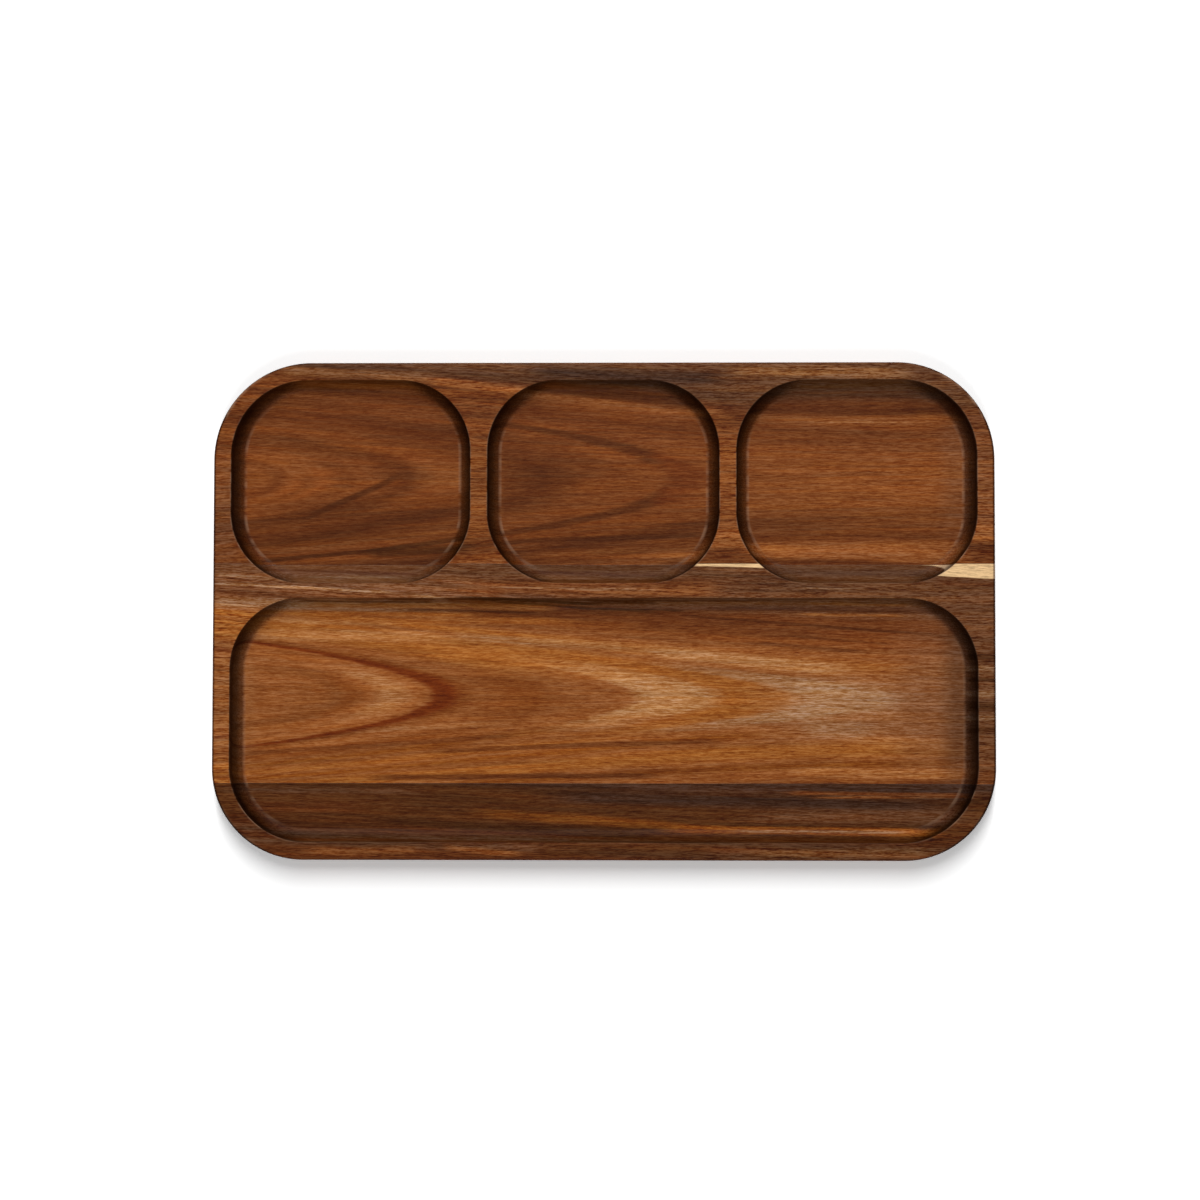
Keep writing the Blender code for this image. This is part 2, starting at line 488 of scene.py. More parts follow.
def mix_colour(sheet, share, first, second, blend="MIX"):
    values = {MIX_SHARE: share, MIX_FIRST: first, MIX_SECOND: second}
    settings = {"data_type": "RGBA", "blend_type": blend, "clamp_factor": True}
    return sheet.output("ShaderNodeMix", values, MIX_RESULT, **settings)


def scaled(sheet, place, factor):
    return sheet.output("ShaderNodeVectorMath", {0: place, "Scale": factor}, operation="SCALE")


def multiplied(sheet, share, base, cast):
    """base with each channel times the cast's, as far as share says."""
    return mix_colour(sheet, share, base, cast, blend="MULTIPLY")


def centred(value, reach):
    """Noise turned to a swing of about reach each way."""
    return (value - 0.5) * (reach * 2)


def blank_material(name):
    """A new material with an empty node tree."""
    material = bpy.data.materials.new(name)
    material.use_nodes = True
    material.node_tree.nodes.clear()
    return material, Sheet(material.node_tree)


MOST_STOPS = 32


def ring_ramp(sheet, ring, rings):
    """Colour by ring radius. rings lists (radius in mm, colour, lightness) from the pith outwards."""
    if len(rings) > MOST_STOPS:
        half = len(rings) // 2
        inner = ring_ramp(sheet, ring, rings[: half + 1])
        outer = ring_ramp(sheet, ring, rings[half:])
        return mix_colour(sheet, sheet.math("GREATER_THAN", ring, rings[half][0]), inner, outer)
    first, last = rings[0][0], rings[-1][0]
    made = sheet.node("ShaderNodeValToRGB", {"Fac": ramp(sheet, ring, first, last)})
    stops = made.color_ramp
    stops.interpolation = "LINEAR"
    while len(stops.elements) > 1:
        stops.elements.remove(stops.elements[-1])
    for index, (radius, name, lightness) in enumerate(rings):
        place = (radius - first) / (last - first)
        stop = stops.elements[0] if index == 0 else stops.elements.new(place)
        stop.position = place
        stop.color = paint(name, lightness)
    return Value(sheet, made.outputs["Color"])


STREAK_PLACE = ("Start X", "Start Y", "End X", "End Y", "Half Width", "End Fade")
STREAK_INPUTS = (
    *((label, "Color") for label in ("Color", "Streak Color")),
    *((label, "Float") for label in ("X", "Y", *STREAK_PLACE, "Share")),
)
STREAK_SIDE_FADE = (1.0, 0.3)


def draw_streak(sheet, given):
    """A soft streak of another colour along the grain."""
    start, end = given["Start X"], given["End X"]
    centre = ramp(sheet, given["X"], start, end, given["Start Y"], given["End Y"], clamp=False)
    side = fade(sheet, abs(given["Y"] - centre) / given["Half Width"], *STREAK_SIDE_FADE)
    middle = (start + end) / 2
    within = (end - middle) - abs(given["X"] - middle)
    ends = fade(sheet, within / given["End Fade"], 0.0, 1.0)
    return mix_colour(sheet, side * given["Share"] * ends, given["Color"], given["Streak Color"])


def add_streaks(sheet, base, x, y, streaks):
    """streaks lists (start x, start y, end x, end y, half width, end fade, colour, lightness, share)."""
    for *place, name, lightness, share in streaks:
        values = {"Color": base, "Streak Color": paint(name, lightness), "X": x, "Y": y, "Share": share}
        values.update(zip(STREAK_PLACE, place))
        tree = node_group("Streak", "ShaderNodeTree", "Color", STREAK_INPUTS, draw_streak)
        base = sheet.output("ShaderNodeGroup", values, node_tree=tree)
    return base


# Each noise: repeats per mm along, across and down the board, what is added to the stave's seed
# (None for the same noise in every stave), detail and roughness
GRAIN_NOISES = {
    "wander": (1 / 90, 1 / 24, 1 / 30, 0, 2, 0.50),
    "waver": (1 / 34, 1 / 5, 1 / 6, 7, 3, 0.50),
    "ragged": (1 / 15, 0.9, 1, 13, 3, 0.60),
    "bands": (1 / 75, 0.30, 1 / 5, 0, 3, 0.60),
    "lines": (1 / 60, 0.75, 2, None, 2, 0.55),
    "tint": (1 / 48, 0.7, 1 / 5, 9, 3, 0.60),
    "bold": (1 / 55, 0.85, 0, 21, 2, 0.55),
    "threads": (1 / 24, 1.3, 1 / 5, 5, 3, 0.60),
    "fibres": (1 / 7, 1.9, 1.9, 0, 3, 0.65),
    "hairs": (1 / 2.5, 4.0, 4.2, None, 2, 0.55),
    "pores": (1 / 6, 2.7, 2.3, 5, 1, 0.50),
}
# How far the grain drifts from its line, in mm, and how much of that each kind of line takes
WANDER_REACH = 1.6
WAVER_REACH = 0.7
STRAIGHT_DRIFT_SHARE = 0.6
STREAK_DRIFT_SHARE = 0.4
SAPWOOD_RAGGED = 0.5

# Swings of tone, as powers of e, and how strong they are in places
FIBRE_SWING = 1.00
HAIR_SWING = 0.85
PORE_DEPTH = 0.45
PORE_COVER = 0.10
RIM_CONTRAST = 1.9
RIM_STREAKS = 0.55
RIGHT_CONTRAST = 1.3
SWING_SPREAD = 0.008
LIGHTEST_FIBRE = 0.50
LIGHTEST_SOFTNESS = 0.4
SAPWOOD_CONTRAST = 0.35
# How much red, green and blue take part in a swing
CHANNEL_SHARES = (0.70, 1.24, 2.25)

# The oiled surface
BUMP_STRENGTH = 0.5
BUMP_DEPTH = 0.08 * MM
FIBRE_HEIGHT, HAIR_HEIGHT, PORE_HEIGHT = 0.5, 0.25, 0.8
FIBRE_ROUGHNESS, PORE_ROUGHNESS = 0.10, 0.12
OIL_IOR = 1.46
OIL_SPECULAR = 0.06

# Casts that the wood's colours are multiplied by, and the colour of a painted highlight
WHITE = (1, 1, 1, 1)
GREY_CAST = (0.86, 0.91, 1.08, 1)
GOLD_CAST = (1.12, 1.08, 0.84, 1)
# Grey cast on the steep walls: partly their rougher routed surface, partly painted sheen
WALL_GREY_AND_SHEEN_CAST = (0.96, 1.06, 1.15, 1)
# Painted glint: lightens the coves of the front corners, where a lamp would reflect
CORNER_GLINT_CAST = (2.10, 2.05, 2.00, 1)
END_GRAIN = (0.36, 0.34, 0.38, 1)
ROUTED_END = (0.52, 0.50, 0.50, 1)
# Colour of the painted highlight on the foot of the walls and on the arris at their top
PAINTED_SHEEN_COLOUR = (0.46, 0.28, 0.175, 1)

# Where each look starts and where it is full. Angles are side over height from the pith, heights and
# places are in mm, noises run from 0 to 1, and a facing is how far a face looks one way, from -1 to 1.
# A slope is 0 on a flat face and 1 on an upright one.
REAR_ANGLE = (0.10, 0.42)
FRONT_ANGLE = (-0.10, -0.42)
WALL_STREAK_HEIGHT = (1.0, 6.5)
RIM_STREAK_HEIGHT = (8.0, 17.0)
RIM_CONTRAST_HEIGHT = (9.0, 17.0)
RIGHT_CONTRAST_X = (-100.0, 140.0)
PORE_NOISE = (0.60, 0.72)
GREY_NOISE = (0.50, 0.66)
GOLD_NOISE = (0.50, 0.36)
SHEEN_NOISE = (0.36, 0.62)
END_GRAIN_FACING = (0.0, 0.34)
ROUTED_END_FACING = (0.30, 0.80)
WALL_SLOPE = (0.25, 0.75)
FOOT_SLOPE = (0.01, 0.09)
FOOT_END_SLOPE = (0.34, 0.13)
ARRIS_SLOPE = (0.05, 0.30)
GLINT_SLOPE = (0.12, 0.30)
GLINT_END_SLOPE = (0.98, 0.75)
GLINT_TURN = (0.3, 0.9)
REARWARD_FACING = (-0.6, 0.3)
LEAST_SHEEN_SHARE = 0.3
# Added where a flat face would otherwise divide by zero
SLOPE_FLOOR = 0.01
TURN_FLOOR = 0.05

HALF_LENGTH_MM = CAD_LENGTH / 2 / MM
HALF_WIDTH_MM = CAD_WIDTH / 2 / MM
THICKNESS_MM = CAD_THICKNESS / MM
# A face counts as a compartment's from this far inside the board's sides and below its top
INSIDE_X = (HALF_LENGTH_MM - 4.5, HALF_LENGTH_MM - 7.0)
INSIDE_Y = (HALF_WIDTH_MM - 4.0, HALF_WIDTH_MM - 6.5)
ARRIS_HEIGHT = (THICKNESS_MM - 0.5, THICKNESS_MM - 0.3)


class Grain:
    """Where a point of a stave lies in its grain, in mm, and the noises that several looks share."""

    def __init__(self, sheet, figure):
        self.sheet = sheet
        self.seed = figure["seed"]
        place = sheet.outputs("ShaderNodeTexCoord")["Object"]
        self.x, self.y, self.z = split(sheet, scaled(sheet, place, 1 / MM))
        # The grain wanders slowly, and quicker and less on a small scale
        wander = self.noise("wander", self.y, self.z)
        self.waver = self.noise("waver", self.y, self.z)
        self.ragged = self.noise("ragged", self.y, self.z)
        drift = centred(wander, WANDER_REACH) + centred(self.waver, WAVER_REACH)
        self.fibre_y = self.y + drift
        ring, self.angle, straight = figure["field"](sheet, self.x, self.y, self.z)
        self.straight = straight + drift * STRAIGHT_DRIFT_SHARE
        self.smooth_ring = ring + drift * figure["ring_drift"]
        self.ring = self.smooth_ring + centred(self.ragged, figure["ragged"])
        self.streak_y = self.y + (drift * STREAK_DRIFT_SHARE + centred(self.ragged, figure["streak_ragged"]))

    def noise(self, name, across, down):
        """Noise between 0 and 1, drawn out along the grain."""
        repeats_along, repeats_across, repeats_down, shift, detail, roughness = GRAIN_NOISES[name]
        seed = 0.0 if shift is None else self.seed + shift
        along = self.x * repeats_along
        place = vector(self.sheet, along, across * repeats_across, down * repeats_down + seed)
        values = {"Vector": place, "Scale": 1.0, "Detail": detail, "Roughness": roughness}
        return self.sheet.output("ShaderNodeTexNoise", values)


def ring_colours(sheet, grain, figure):
    """The rings' colours in the heart, to the rear and to the front of it, with streaks along the grain."""
    heart, rear, front = (ring_ramp(sheet, grain.ring, rings) for rings in figure["rings"])
    base = mix_colour(sheet, fade(sheet, grain.angle, *REAR_ANGLE), heart, rear)
    base = mix_colour(sheet, fade(sheet, grain.angle, *FRONT_ANGLE), base, front)
    base = add_streaks(sheet, base, grain.x, grain.ring, figure["ring_lines"])
    base = add_streaks(sheet, base, grain.x, grain.streak_y, figure["streaks"])
    above = fade(sheet, grain.z, *WALL_STREAK_HEIGHT)
    higher = add_streaks(sheet, base, grain.x, grain.streak_y, figure["upper_streaks"])
    return mix_colour(sheet, above, base, higher)


def slow_tone(sheet, grain, figure):
    """Broad bands and ring lines, which come and go along the board, with bolder streaks on the rims."""
    bands = grain.noise("bands", grain.straight, grain.z)
    lines = grain.noise("lines", grain.smooth_ring, grain.angle)
    tone = centred(bands, figure["band_swing"]) + centred(lines, figure["line_swing"])
    bold = centred(grain.noise("bold", grain.straight, grain.z), RIM_STREAKS)
    return bold * fade(sheet, grain.z, *RIM_STREAK_HEIGHT) + tone


def tinted(sheet, grain, figure, base):
    """base with a grey cast in some places and a gold one in others."""
    tint = grain.noise("tint", grain.straight, grain.z)
    grey_share = fade(sheet, tint, *GREY_NOISE) * figure["tint_share"]
    gold_share = fade(sheet, tint, *GOLD_NOISE) * figure["tint_share"]
    cast = mix_colour(sheet, grey_share, WHITE, GREY_CAST)
    cast = mix_colour(sheet, gold_share, cast, GOLD_CAST)
    return multiplied(sheet, 1.0, base, cast)


def channel_swings(sheet, slow, fine, strength):
    """Light fibres are paler as well as lighter, so each channel swings by its own share.

    An uneven tone is lighter on average than an even one, so that much is taken off again.
    """
    gain = strength * strength * SWING_SPREAD
    levels = (gain * (-share * share) + slow for share in CHANNEL_SHARES)
    swings = (sheet.math("EXPONENT", fine * share + level) for share, level in zip(CHANNEL_SHARES, levels))
    return vector(sheet, *swings)


def with_sapwood(sheet, grain, sapwood_share, base, fine):
    """base with cream sapwood in its place, whose fibres are calmer."""
    share = sapwood_share(sheet, grain.x, grain.y + centred(grain.ragged, SAPWOOD_RAGGED), grain.z)
    calm = sheet.math("EXPONENT", fine * SAPWOOD_CONTRAST)
    cream = scaled(sheet, paint("sapwood")[:3], calm)
    return mix_colour(sheet, share, base, cream)


def end_grain(sheet, base, end_facing):
    """Thirsty end grain drinks more oil and goes dark."""
    dark = multiplied(sheet, 1.0, base, END_GRAIN)
    return mix_colour(sheet, fade(sheet, end_facing, *END_GRAIN_FACING), base, dark)


def routed_walls(sheet, grain, sheen_share, base, facing):
    """The routed end walls are darker than the planed faces, and the steep walls take a grey cast that is
    partly their rougher surface and partly painted sheen. The foot of all walls and the arris at their top
    get a painted highlight, and the coves of the front corners a painted glint.

    facing is how far the face looks along the board, to the rear and up.
    """
    facing_x, facing_y, facing_z = facing
    inside = fade(sheet, abs(grain.x), *INSIDE_X) * fade(sheet, abs(grain.y), *INSIDE_Y)
    slope = sheet.math("SQRT", 1.0 - facing_z * facing_z, clamp=True)
    # A grey cast on the steep walls, partly their rougher routed surface and partly painted sheen
    base = multiplied(sheet, fade(sheet, slope, *WALL_SLOPE) * inside, base, WALL_GREY_AND_SHEEN_CAST)
    base = multiplied(sheet, fade(sheet, facing_x, *ROUTED_END_FACING) * inside, base, ROUTED_END)

    # Painted highlight: the foot of the walls and the arris at their top are lightened in patches, most on
    # the end walls and on walls that look to the rear
    foot = fade(sheet, slope, *FOOT_SLOPE) * fade(sheet, slope, *FOOT_END_SLOPE)
    arris = fade(sheet, grain.z, *ARRIS_HEIGHT) * fade(sheet, slope, *ARRIS_SLOPE)
    some_slope = slope + SLOPE_FLOOR
    across = ramp(sheet, facing_x / some_slope, 0.0, 1.0, LEAST_SHEEN_SHARE, 1.0)
    rearward = ramp(sheet, facing_y / some_slope, *REARWARD_FACING, LEAST_SHEEN_SHARE, 1.0)
    patchy = fade(sheet, grain.waver, *SHEEN_NOISE) * across * rearward * sheen_share
    painted_sheen = sheet.math("MAXIMUM", foot, arris) * inside * patchy
    base = mix_colour(sheet, painted_sheen, base, PAINTED_SHEEN_COLOUR)

    # Painted glint on the coves of the front corners: turn is 1 where they look halfway between the side and
    # the rear
    turn = facing_x * sheet.math("MAXIMUM", facing_y, 0.0) * 2.0 / (slope * slope + TURN_FLOOR)
    corner = fade(sheet, turn, *GLINT_TURN) * fade(sheet, slope, *GLINT_SLOPE)
    corner = corner * fade(sheet, slope, *GLINT_END_SLOPE) * inside
    return multiplied(sheet, corner, base, CORNER_GLINT_CAST)


def wood(name, figure):
    """Oiled acacia: ring colours, streaks along the grain, fibres and pores, darker end grain."""
    material, sheet = blank_material(name)
    grain = Grain(sheet, figure)
    base = ring_colours(sheet, grain, figure)
    slow = slow_tone(sheet, grain, figure)

    # Threads and fibres run along the grain, and pores are short dashes in it
    threads = grain.noise("threads", grain.straight, grain.z)
    fibres = grain.noise("fibres", grain.fibre_y, grain.z)
    hairs = grain.noise("hairs", grain.fibre_y, grain.z)
    pores = fade(sheet, grain.noise("pores", grain.fibre_y, grain.z), *PORE_NOISE)
    fine = centred(fibres, FIBRE_SWING) + centred(hairs, HAIR_SWING)
    fine = fine + (centred(threads, figure["thread_swing"]) - (pores - PORE_COVER) * PORE_DEPTH)
    at_rim = ramp(sheet, grain.z, *RIM_CONTRAST_HEIGHT, figure["contrast"], RIM_CONTRAST)
    strength = at_rim * ramp(sheet, grain.x, *RIGHT_CONTRAST_X, 1.0, RIGHT_CONTRAST)
    fine = sheet.math("SMOOTH_MIN", fine * strength, LIGHTEST_FIBRE, LIGHTEST_SOFTNESS)

    swings = channel_swings(sheet, slow, fine, strength)
    base = tinted(sheet, grain, figure, base)
    final = sheet.output("ShaderNodeVectorMath", {0: base, 1: swings}, operation="MULTIPLY")
    if "sapwood" in figure:
        final = with_sapwood(sheet, grain, figure["sapwood"], final, fine)
    facing_x, facing_y, facing_z = split(sheet, sheet.outputs("ShaderNodeNewGeometry")["Normal"])
    end_facing = abs(facing_x)
    final = end_grain(sheet, final, end_facing)
    facing = (end_facing, facing_y, facing_z)
    final = routed_walls(sheet, grain, figure["sheen_share"], final, facing)

    height = fibres * FIBRE_HEIGHT + hairs * HAIR_HEIGHT - pores * PORE_HEIGHT
    relief = {"Strength": BUMP_STRENGTH, "Distance": BUMP_DEPTH, "Height": height}
    shine = {
        "Base Color": final,
        "Roughness": centred(fibres, FIBRE_ROUGHNESS) + figure["roughness"] + pores * PORE_ROUGHNESS,
        "Normal": sheet.output("ShaderNodeBump", relief),
        "IOR": OIL_IOR,
        "Specular IOR Level": OIL_SPECULAR,
    }
    sheet.node("ShaderNodeOutputMaterial", {0: sheet.output("ShaderNodeBsdfPrincipled", shine)})
    return material


# The figure of each stave, in mm. A line along the board is (its place at x = 0, slope, bow)

MIDDLE_PITH_Y = (-41.8, -0.0075)
MIDDLE_PITH_DEPTH = (47.55, 0.05, -0.000133)
MIDDLE_USUAL_DEPTH = 48.0
SAPWOOD_EDGE = (22.63, -0.0192, -0.000109)
SAPWOOD_LEAN = 0.5
SAPWOOD_EDGE_FADE = (-0.2, 0.5)
SAPWOOD_START_X = (36.0, 48.0)
REAR_PITH_Y = 65.0
REAR_PITH_DEPTH = (52.0, 0.08)
REAR_DEEPEST, REAR_DEPTH_SOFTNESS, REAR_DEPTH_TRIM = 57.6, 6.0, 2.45
REAR_USUAL_DEPTH = 50.0
FRONT_SLOPE = 0.03
FRONT_LEAN = 0.25
# How many mm of ring a mm of height adds, and how strongly the fibres turn with the rings
RING_RISE = 0.35
RING_PULL = 1.5


def line_along(x, start, slope, bow=0.0):
    """A line along the board."""
    straight = x * slope + start
    return x * x * bow + straight if bow else straight


def rings_round_pith(sheet, y, z, pith_y, pith_depth, usual_depth):
    """Ring radius, angle from the heart, and a place across the board that holds along a fibre."""
    height = z * RING_RISE + pith_depth
    side = y - pith_y
    ring = sheet.math("SQRT", side * side + height * height)
    angle = side / height
    pull = angle * RING_PULL / (angle * angle + 1.0)
    return ring, angle, (height - usual_depth) * pull + y


def middle_field(sheet, x, y, z):
    """Rings of the middle stave: one tall cathedral that points to the right."""
    depth = line_along(x, *MIDDLE_PITH_DEPTH)
    return rings_round_pith(sheet, y, z, line_along(x, *MIDDLE_PITH_Y), depth, MIDDLE_USUAL_DEPTH)


def middle_sapwood(sheet, x, y, z):
    """Share of cream sapwood, which fills the stave's rear edge on the right and thins out with depth."""
    edge = (THICKNESS_MM - z) * SAPWOOD_LEAN + line_along(x, *SAPWOOD_EDGE)
    return fade(sheet, y - edge, *SAPWOOD_EDGE_FADE) * fade(sheet, x, *SAPWOOD_START_X)


def rear_field(sheet, x, y, z):
    """Rings of the rear stave: two nested cathedrals on the left, straight grain on the right."""
    depth = line_along(x, *REAR_PITH_DEPTH)
    depth = sheet.math("SMOOTH_MIN", depth, REAR_DEEPEST, REAR_DEPTH_SOFTNESS) - REAR_DEPTH_TRIM
    return rings_round_pith(sheet, y, z, REAR_PITH_Y, depth, REAR_USUAL_DEPTH)


def front_field(sheet, x, y, z):
    """Rings of the front stave: almost straight, because its pith was far away. It has no heart angle."""
    across = x * FRONT_SLOPE + y
    return z * FRONT_LEAN - across, across * 0.0, across


# Growth rings by colour. The heart is what lies right above the pith

MIDDLE_HEART_RINGS = (
    (36, "tan", 1), (39, "tan", 1), (40.6, "tan", 0.88), (41.2, "tan", 0.8), (41.8, "brown", 1.08),
    (42.5, "tan", 1.12), (43.1, "peach", 1.03), (43.7, "peach", 1.06), (44.3, "tan", 1.12),
    (44.7, "tan", 1.02), (44.95, "rust", 1.05), (45.2, "rust", 0.86), (45.5, "rust", 0.98),
    (46, "brown", 0.95), (46.4, "tan", 0.86), (47.5, "brown", 1.02), (48.4, "brown", 0.98),
    (49.3, "tan", 0.86), (50.2, "tan", 0.95), (50.6, "tan", 1.02), (50.9, "pale", 1.02),
    (51.6, "pale", 1.12), (52.2, "pale", 1), (52.6, "honey", 0.98), (53, "honey", 0.88),
    (53.4, "honey", 0.92), (53.7, "straw", 0.94), (54.05, "straw", 1), (54.3, "straw", 0.85),
    (54.6, "tan", 0.92), (58, "tan", 0.85),
)
MIDDLE_REAR_RINGS = (
    (36, "tan", 1), (41, "tan", 0.92), (43.2, "tan", 1.02), (44.7, "tan", 1.05), (44.95, "rust", 1),
    (45.45, "rust", 0.9), (45.9, "brown", 0.92), (46.3, "tan", 0.85), (47.4, "tan", 1.02),
    (49, "honey", 0.92), (51, "honey", 1.02), (53.5, "honey", 1), (54.6, "tan", 1), (55.6, "honey", 1.05),
    (56.4, "honey", 1.02), (57.6, "tan", 1.02), (59, "tan", 0.82), (60.4, "brown", 1.02),
    (61.6, "brown", 0.92), (62.8, "russet", 0.9), (64, "russet", 0.9), (66.4, "russet", 0.88),
    (68, "grey", 1.25), (71, "grey", 1.15), (72.5, "grey", 0.9), (76, "grey", 1), (78, "grey", 0.72),
    (80, "grey", 0.8), (82, "grey", 0.62), (84, "grey", 0.78), (90, "grey", 0.7),
)
MIDDLE_FRONT_RINGS = (
    (36, "tan", 1), (41, "tan", 0.9), (42.7, "tan", 1.02), (44.2, "tan", 1.08), (44.75, "tan", 0.98),
    (44.95, "rust", 1), (45.4, "rust", 0.9), (45.9, "tan", 0.84), (46.6, "tan", 1.02), (47.8, "tan", 1),
    (48.8, "brown", 1.08), (50.2, "tan", 0.88), (51.2, "orange", 0.95), (52.3, "tan", 0.97),
    (53.7, "honey", 0.95), (54.8, "tan", 0.92), (55.8, "orange", 1.05), (57, "tan", 0.92),
    (58.4, "honey", 0.92), (60, "honey", 0.9), (61.6, "tan", 0.9), (62.8, "orange", 0.92),
    (64.2, "tan", 0.9), (66, "tan", 0.92), (68, "brown", 0.8),
)
REAR_HEART_RINGS = (
    (36, "russet", 1.05), (38.8, "russet", 1.05), (39.3, "umber", 1.4), (39.75, "russet", 1.12),
    (40.05, "russet", 1.26), (40.45, "russet", 0.96), (41, "russet", 1.24), (41.7, "russet", 0.97),
    (42.6, "russet", 1.06), (43.4, "russet", 0.88), (44.5, "umber", 1.05), (45.6, "russet", 1.18),
    (47.2, "russet", 1), (48.5, "russet", 0.72), (49.7, "umber", 0.95), (51.1, "russet", 0.78),
    (52.4, "russet", 0.95), (53.9, "russet", 1.02), (55.3, "russet", 0.95), (56.1, "russet", 1),
    (57.2, "russet", 1.1), (60, "russet", 1.1),
)
REAR_REAR_RINGS = (
    (36, "russet", 1.1), (41.2, "russet", 1.08), (43.9, "russet", 0.75), (45, "russet", 0.88),
    (46.3, "russet", 1.05), (47.8, "russet", 0.9), (49.5, "umber", 1.15), (51.3, "umber", 1.15),
    (53.3, "russet", 0.92), (55.4, "russet", 0.96), (57.4, "russet", 0.98), (59.5, "umber", 1.25),
    (61, "russet", 0.85), (62.6, "russet", 0.95), (65.2, "russet", 0.8), (66.5, "umber", 0.9),
    (68, "umber", 1.2), (71, "grey", 0.6), (74, "grey", 0.75),
)
REAR_FRONT_RINGS = (
    (36, "russet", 1.05), (41.2, "russet", 1.05), (42.6, "russet", 0.98), (43.7, "umber", 0.9),
    (44.8, "russet", 0.72), (46.2, "russet", 0.76), (47.6, "umber", 1), (49.2, "umber", 0.95),
    (51, "russet", 0.7), (53, "russet", 0.9), (54.6, "russet", 0.85), (57, "russet", 0.85),
    (58.6, "russet", 0.8), (60.4, "umber", 0.85), (62.6, "russet", 0.75), (64.6, "russet", 0.95),
    (66.4, "tan", 1), (68.2, "tan", 0.9), (70, "umber", 1), (76, "russet", 0.9),
)
FRONT_RINGS = (
    (80, "plum", 1.05), (86, "plum", 1.08), (90, "walnut", 1), (94, "walnut", 1.15), (99, "walnut", 1.3),
    (106, "walnut", 1.2), (112, "umber", 0.75), (115.5, "grey", 0.52), (118, "umber", 1),
    (121, "grey", 0.58), (124, "umber", 0.9),
)
# Lines that follow a ring: y is a ring radius here
REAR_RING_LINES = (
    (-64, 55, 34, 55, 0.95, 14, "umber", 0.74, 0.8),
    (20, 55, 62, 55, 0.95, 12, "rust", 0.8, 0.5),
)

